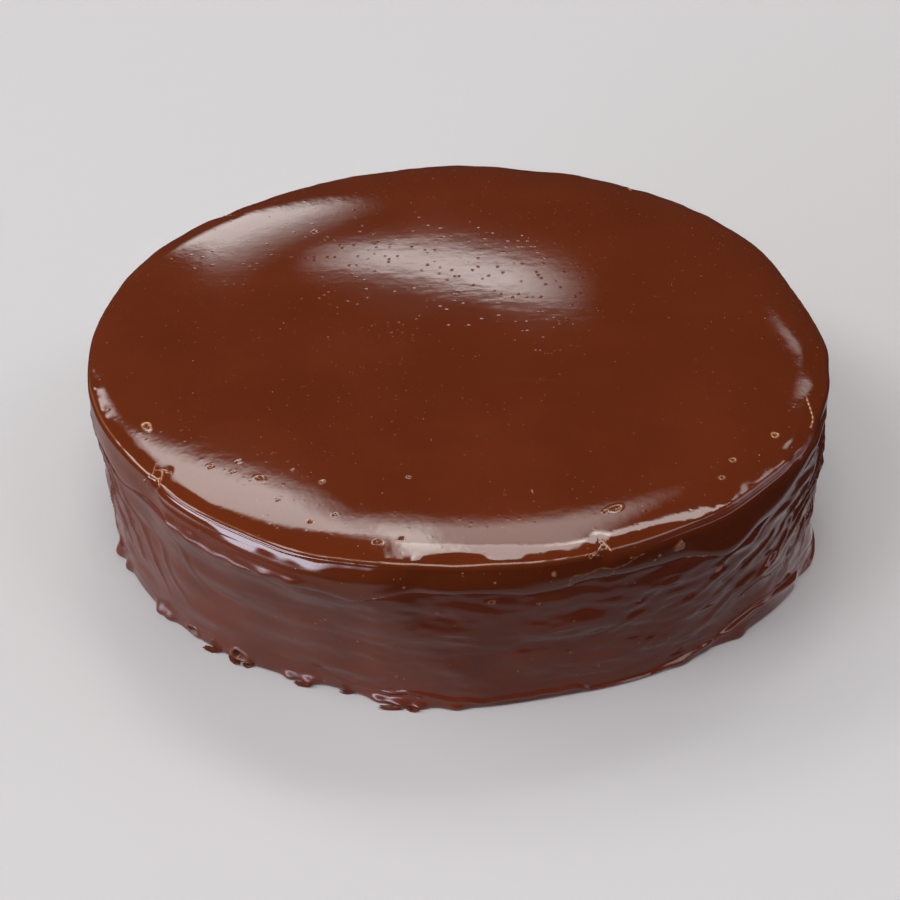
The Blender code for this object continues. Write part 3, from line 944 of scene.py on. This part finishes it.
def setChocolateTone():
    # cloudy colour with sparse tan flecks in it
    group, given, put = newGroup(
        "chocolateTone",
        (
            ("Deep", "NodeSocketColor", (0.1, 0.02, 0.01, 1.0)),
            ("Warm", "NodeSocketColor", (0.16, 0.03, 0.01, 1.0)),
            ("Fleck", "NodeSocketColor", (0.3, 0.12, 0.05, 1.0)),
            ("Cloud Scale", "NodeSocketFloat", 30.0),
            ("Fleck Scale", "NodeSocketFloat", 350.0),
            ("Fleck Share", "NodeSocketFloat", 0.1),
        ),
        (("Color", "NodeSocketColor"),),
    )
    place = addNode(group, "ShaderNodeTexCoord").outputs["Object"]
    wanted = {"Vector": place, "Scale": given.outputs["Cloud Scale"], "Detail": 4.0, "Roughness": 0.6}
    cloud = addNode(group, "ShaderNodeTexNoise", wanted)
    clouds = addRange(group, cloud.outputs["Fac"], 0.35, 0.65)
    tone = addMix(group, "RGBA", clouds, given.outputs["Deep"], given.outputs["Warm"])
    wanted = {"Vector": place, "Scale": given.outputs["Fleck Scale"], "Randomness": 1.0}
    cells = addNode(group, "ShaderNodeTexVoronoi", wanted)
    rare = addNode(group, "ShaderNodeSeparateColor", {"Color": cells.outputs["Color"]})
    chosen = addMath(group, "LESS_THAN", rare.outputs["Red"], given.outputs["Fleck Share"])
    dot = addRange(group, cells.outputs["Distance"], 0.34, 0.16)
    flecks = addMath(group, "MULTIPLY", dot, chosen)
    flecked = addMix(group, "RGBA", flecks, tone, given.outputs["Fleck"])
    group.links.new(flecked, put.inputs["Color"])
    return group


def setGlazeGrain():
    # a height: drag lines, tiny pimples and a fine unevenness
    group, given, put = newGroup(
        "glazeGrain",
        (
            ("Line Scale", "NodeSocketFloat", 60.0),
            ("Line Height", "NodeSocketFloat", 0.02),
            ("Pimple Scale", "NodeSocketFloat", 900.0),
            ("Pimple Height", "NodeSocketFloat", 0.03),
            ("Fine Scale", "NodeSocketFloat", 700.0),
            ("Fine Height", "NodeSocketFloat", 0.002),
            ("Stretch", "NodeSocketVector", (1.0, 5.0, 5.0)),
        ),
        (("Height", "NodeSocketFloat"),),
    )
    place = addNode(group, "ShaderNodeTexCoord").outputs["Object"]
    wanted = {0: place, 1: given.outputs["Stretch"]}
    drawn = addNode(group, "ShaderNodeVectorMath", wanted, operation="MULTIPLY").outputs["Vector"]
    wanted = {"Vector": drawn, "Scale": given.outputs["Line Scale"], "Detail": 5.0, "Roughness": 0.55}
    lines = addNode(group, "ShaderNodeTexNoise", wanted)
    height = addMath(group, "MULTIPLY", lines.outputs["Fac"], given.outputs["Line Height"])
    wanted = {"Vector": place, "Scale": given.outputs["Pimple Scale"], "Randomness": 1.0}
    cells = addNode(group, "ShaderNodeTexVoronoi", wanted)
    rare = addNode(group, "ShaderNodeSeparateColor", {"Color": cells.outputs["Color"]})
    few = addMath(group, "LESS_THAN", rare.outputs["Green"], 0.16)
    dome = addRange(group, cells.outputs["Distance"], 0.45, 0.0, kind="SMOOTHSTEP")
    pimples = addMath(group, "MULTIPLY", dome, few)
    height = addMath(group, "MULTIPLY_ADD", pimples, given.outputs["Pimple Height"], height)
    wanted = {"Vector": place, "Scale": given.outputs["Fine Scale"], "Detail": 2.0, "Roughness": 0.5}
    fine = addNode(group, "ShaderNodeTexNoise", wanted)
    height = addMath(group, "MULTIPLY_ADD", fine.outputs["Fac"], given.outputs["Fine Height"], height)
    group.links.new(height, put.inputs["Height"])
    return group


chocolateTone = setChocolateTone()
glazeGrain = setGlazeGrain()


def newMaterial(name):
    material = bpy.data.materials.new(name)
    material.use_nodes = True
    return material, material.node_tree, material.node_tree.nodes["Principled BSDF"]


def painted(tree, name):
    return addNode(tree, "ShaderNodeAttribute", attribute_name=name).outputs["Fac"]


def glazeMaterial(name, look):
    material, tree, shader = newMaterial(name)
    tone = addNode(tree, "ShaderNodeGroup", node_tree=chocolateTone)
    grain = addNode(tree, "ShaderNodeGroup", node_tree=glazeGrain)
    for socket in [*tone.inputs, *grain.inputs]:
        if socket.name in look:
            socket.default_value = look[socket.name]
    # tan where the glaze is thin; along the lip line partly a painted highlight
    tinted = addMix(tree, "RGBA", painted(tree, "tanEdgeAndLineHighlight"), tone.outputs["Color"], look["edge"])
    place = addNode(tree, "ShaderNodeTexCoord").outputs["Object"]
    wanted = {"Vector": place, "Scale": look["filmScale"], "Detail": 3.0}
    film = addNode(tree, "ShaderNodeTexNoise", wanted)
    dull = addRange(tree, film.outputs["Fac"], 0.3, 0.7, look["glossy"], look["dull"])
    hazed = addMix(tree, "FLOAT", painted(tree, "haze"), dull, look["hazy"])
    rumple = addMath(tree, "MULTIPLY_ADD", painted(tree, "rumple"), look["rumpleHeight"], look["fineHeight"])
    tree.links.new(rumple, grain.inputs["Fine Height"])
    bump = addNode(tree, "ShaderNodeBump", {"Height": grain.outputs["Height"], "Distance": mm})
    shader.inputs["Metallic"].default_value = 0.0
    shader.inputs["IOR"].default_value = look["ior"]
    tree.links.new(tinted, shader.inputs["Base Color"])
    tree.links.new(hazed, shader.inputs["Roughness"])
    tree.links.new(bump.outputs["Normal"], shader.inputs["Normal"])
    return material


topLook = {
    "ior": 1.5, "glossy": 0.04, "dull": 0.065, "hazy": 0.28, "filmScale": 25.0,
    "Deep": (0.092, 0.0160, 0.0036, 1.0), "Warm": (0.108, 0.0192, 0.0046, 1.0),
    "Fleck": (0.22, 0.065, 0.02, 1.0), "edge": (0.55, 0.27, 0.12, 1.0),
    "Cloud Scale": 22.0, "Fleck Scale": 900.0, "Fleck Share": 0.02,
    "Line Scale": 55.0, "Line Height": 0.007, "Pimple Scale": 480.0, "Pimple Height": 0.012,
    "Fine Scale": 170.0, "fineHeight": 0.010, "rumpleHeight": 0.026, "Stretch": (1.0, 4.0, 4.0),
}
sideLook = {
    "ior": 1.5, "glossy": 0.10, "dull": 0.18, "hazy": 0.32, "filmScale": 40.0,
    "Deep": (0.086, 0.0155, 0.0060, 1.0), "Warm": (0.108, 0.0205, 0.0084, 1.0),
    "Fleck": (0.22, 0.07, 0.025, 1.0), "edge": (0.50, 0.20, 0.08, 1.0),
    "Cloud Scale": 45.0, "Fleck Scale": 700.0, "Fleck Share": 0.015,
    "Line Scale": 90.0, "Line Height": 0.05, "Pimple Scale": 520.0, "Pimple Height": 0.02,
    "Fine Scale": 420.0, "fineHeight": 0.006, "rumpleHeight": 0.0, "Stretch": (1.0, 1.0, 2.5),
}
speckLook = {
    "ior": 1.5, "glossy": 0.12, "dull": 0.20, "hazy": 0.20, "filmScale": 60.0,
    "Deep": (0.11, 0.022, 0.007, 1.0), "Warm": (0.20, 0.052, 0.017, 1.0),
    "Fleck": (0.30, 0.11, 0.04, 1.0), "edge": (0.50, 0.24, 0.11, 1.0),
    "Cloud Scale": 120.0, "Fleck Scale": 900.0, "Fleck Share": 0.05,
    "Line Scale": 200.0, "Line Height": 0.004, "Pimple Scale": 900.0, "Pimple Height": 0.0,
    "Fine Scale": 900.0, "fineHeight": 0.002, "rumpleHeight": 0.0, "Stretch": (1.0, 1.0, 1.0),
}
topGlaze = glazeMaterial("topGlaze", topLook)
sideGlaze = glazeMaterial("sideGlaze", sideLook)
speckGlaze = glazeMaterial("speckGlaze", speckLook)
print("glaze materials set")

sheet = glazeSheet(topGlaze)
coat = sideCoat(sideGlaze)
shardPiece = footShards(coat, sideGlaze)
specked = glazeSpecks(sheet, coat, speckGlaze)

# Floor, lights, world and camera.
studio = dict(
    floorSize=14.0,
    floorColour=(0.52, 0.52, 0.53, 1.0),
    paintedDarkReflectionAndShade=(0.022, 0.022, 0.025, 1.0),  # a dark glow past the pale pools round the cake, mirrored by the glaze and met by bounced light: painted dark reflection and painted shade
    # the pale glow mirrored in the glaze inside the pools, a painted reflection
    paintedPoolReflection=(0.50, 0.455, 0.465, 1.0),
    paintedReflectionPools=(  # pools of painted reflection: centre, radius, how dark
        ((0.0, 0.012, 0.0), 0.180, 0.36),
        ((-0.100, -0.070, 0.0), 0.125, 0.0),
        ((0.130, -0.045, 0.0), 0.042, 0.0),
    ),
    poolFade=0.012,
    floorRoughness=0.7,
    backdrop=(0.62, 0.63, 0.65, 1.0),
    ambient=(0.030, 0.031, 0.034, 1.0),
    fill=(0.05, 0.05, 0.055, 1.0),
)
# Softboxes, as seen from the cake: azimuth from the back, elevation, width, height and roll in degrees;
# radiance; how much of each half fades out; colour.
boxDistance = 6.0
warmLamp = (1.0, 0.96, 0.92)
paleLamp = (1.0, 0.97, 0.94)
whiteLamp = (1.0, 0.98, 0.96)
softboxes = dict(
    rimLeft=(-18.5, 45.5, 21.0, 15.0, 0.0, 5.4, 0.40, warmLamp),
    rimFill=(3.0, 50.0, 18.0, 16.0, 0.0, 3.1, 0.60, warmLamp),
    rimColumn=(-3.0, 54.0, 4.0, 26.0, 0.0, 4.0, 0.70, warmLamp),
    rimTop=(6.0, 60.5, 16.0, 12.0, 0.0, 6.0, 0.30, warmLamp),
    rimRight=(28.0, 56.0, 22.0, 6.5, 6.0, 6.0, 0.40, warmLamp),
    rightSoft=(36.0, 44.0, 8.0, 12.0, 0.0, 3.0, 0.60, paleLamp),
    leftSpot=(-29.0, 33.0, 5.5, 9.0, 0.0, 5.0, 0.80, paleLamp),
    backSpotLeft=(-9.1, 21.7, 7.2, 15.5, 28.0, 3.7, 0.60, whiteLamp),
    backSpotRight=(-0.2, 30.0, 9.6, 1.5, -12.0, 5.0, 0.70, whiteLamp),
    rightSpotBack=(17.5, 29.3, 7.0, 3.2, -20.0, 1.6, 0.90, paleLamp),
    rightSpotFront=(23.5, 32.8, 8.0, 3.4, 12.0, 2.1, 0.90, paleLamp),
    lipLeft=(-76.0, 33.0, 30.0, 26.0, 0.0, 5.5, 0.30, paleLamp),
    lipLeftFront=(-116.0, 53.0, 28.0, 26.0, 0.0, 5.5, 0.30, paleLamp),
    overhead=(180.0, 68.0, 36.0, 30.0, 0.0, 4.8, 0.30, warmLamp),
    lipRightFront=(114.0, 53.0, 28.0, 24.0, 0.0, 2.6, 0.30, (1.0, 0.96, 0.94)),
    lipRight=(76.0, 32.0, 30.0, 30.0, 0.0, 1.7, 0.30, (1.0, 0.90, 0.98)),
    window=(-121.0, 9.5, 74.0, 14.0, 0.0, 12.0, 0.35, (0.80, 0.84, 1.0)),
    rightLow=(95.0, 6.5, 66.0, 10.0, 0.0, 2.0, 0.30, (1.0, 0.84, 0.92)),
)


def paintedReflectionMask(tree):
    # how dark the painted reflection is: least inside the pools, one beyond all of them
    place = addNode(tree, "ShaderNodeTexCoord").outputs["Object"]
    mask = 1.0
    for centre, radius, darkness in studio["paintedReflectionPools"]:
        offset = addNode(tree, "ShaderNodeVectorMath", {0: place, 1: centre}, operation="DISTANCE")
        inner, outer = radius - studio["poolFade"], radius + studio["poolFade"]
        beyond = addRange(tree, offset.outputs["Value"], inner, outer, toLow=darkness, kind="SMOOTHSTEP")
        mask = addMath(tree, "MINIMUM", mask, beyond)
    return mask


def setFloor():
    deselectAll()
    bpy.ops.mesh.primitive_plane_add(size=studio["floorSize"], location=(0.0, 0.0, 0.0))
    floor = bpy.context.object
    floor.name = "studioFloor"
    material, tree, shader = newMaterial("paleFloorWithPaintedReflections")
    shader.inputs["Base Color"].default_value = studio["floorColour"]
    shader.inputs["Roughness"].default_value = studio["floorRoughness"]
    # glossy rays see a glowing painted reflection, pale in the pools round the cake and dark beyond
    beyond = paintedReflectionMask(tree)
    tone = addMix(tree, "RGBA", beyond, studio["paintedPoolReflection"], studio["paintedDarkReflectionAndShade"])
    mirrored = addNode(tree, "ShaderNodeEmission", {"Color": tone})
    rays = addNode(tree, "ShaderNodeLightPath").outputs
    # bounced light beyond the pools also meets the dark glow, a painted shade on the glaze's side
    paintedBounceShade = addMath(tree, "MULTIPLY", rays["Is Diffuse Ray"], beyond)
    either = addMath(tree, "MAXIMUM", paintedBounceShade, rays["Is Glossy Ray"])
    both = addShaderMix(tree, either, shader.outputs["BSDF"], mirrored.outputs["Emission"])
    tree.links.new(both, tree.nodes["Material Output"].inputs["Surface"])
    floor.data.materials.append(material)


def fadeEdges(lamp, fade):
    # the light falls off towards the box's four edges
    lamp.use_nodes = True
    tree = lamp.node_tree
    place = addNode(tree, "ShaderNodeNewGeometry").outputs["Parametric"]
    split = addNode(tree, "ShaderNodeSeparateXYZ", {"Vector": place})
    shares = []
    for axis in ("X", "Y"):
        away = addMath(tree, "ABSOLUTE", addMath(tree, "SUBTRACT", split.outputs[axis], 0.5))
        shares.append(addRange(tree, away, 0.5, 0.5 - 0.5 * fade, kind="SMOOTHSTEP"))
    tree.links.new(addMath(tree, "MULTIPLY", *shares), tree.nodes["Emission"].inputs["Strength"])


def setSoftboxes():
    middle = Vector((0.0, 0.0, cake["crownHeight"]))
    for name, (azimuth, elevation, wide, high, roll, radiance, fade, tint) in softboxes.items():
        across, up = math.radians(azimuth), math.radians(elevation)
        away = Vector((math.sin(across) * math.cos(up), math.cos(across) * math.cos(up), math.sin(up)))
        lamp = bpy.data.lights.new(name, "AREA")
        lamp.shape = "RECTANGLE"
        lamp.size = 2.0 * boxDistance * math.tan(math.radians(wide) / 2.0)
        lamp.size_y = 2.0 * boxDistance * math.tan(math.radians(high) / 2.0)
        lamp.energy = math.pi * radiance * lamp.size * lamp.size_y
        lamp.color = tint
        fadeEdges(lamp, fade)
        box = bpy.data.objects.new(name, lamp)
        turn = (-away).to_track_quat("-Z", "Y").to_matrix().to_4x4()
        place = Matrix.Translation(middle + away * boxDistance)
        box.matrix_world = place @ turn @ Matrix.Rotation(math.radians(roll), 4, "Z")
        box.visible_camera = False
        scene.collection.objects.link(box)


def setWorld():
    world = bpy.data.worlds.new("studioWorld")
    world.use_nodes = True
    scene.world = world
    tree = world.node_tree
    seen = tree.nodes["Background"]
    seen.inputs["Color"].default_value = studio["backdrop"]
    mirrored = addNode(tree, "ShaderNodeBackground", {"Color": studio["ambient"]})
    soft = addNode(tree, "ShaderNodeBackground", {"Color": studio["fill"]})
    rays = addNode(tree, "ShaderNodeLightPath").outputs
    grounds = mirrored.outputs["Background"], soft.outputs["Background"]
    unseen = addShaderMix(tree, rays["Is Diffuse Ray"], *grounds)
    both = addShaderMix(tree, rays["Is Camera Ray"], unseen, seen.outputs["Background"])
    tree.links.new(both, tree.nodes["World Output"].inputs["Surface"])


cameraSet = dict(
    place=(-3.5 * mm, -684.6 * mm, 492.7 * mm), pitch=34.92, roll=-0.56, lens=94.2, sensor=36.0,
)


def setCamera():
    data = bpy.data.cameras.new("camera")
    data.lens, data.sensor_width = cameraSet["lens"], cameraSet["sensor"]
    data.clip_start, data.clip_end = 0.05, 50.0
    camera = bpy.data.objects.new("camera", data)
    tilt = Matrix.Rotation(math.radians(90.0 - cameraSet["pitch"]), 4, "X")
    roll = Matrix.Rotation(math.radians(cameraSet["roll"]), 4, "Z")
    camera.matrix_world = Matrix.Translation(cameraSet["place"]) @ tilt @ roll
    scene.collection.objects.link(camera)
    scene.camera = camera


setFloor()
setSoftboxes()
setWorld()
setCamera()
scene.view_settings.view_transform = "Standard"
print("studio set")

for piece in (sheet, coat, shardPiece, specked):
    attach(piece, "root")
    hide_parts(cakeNode)
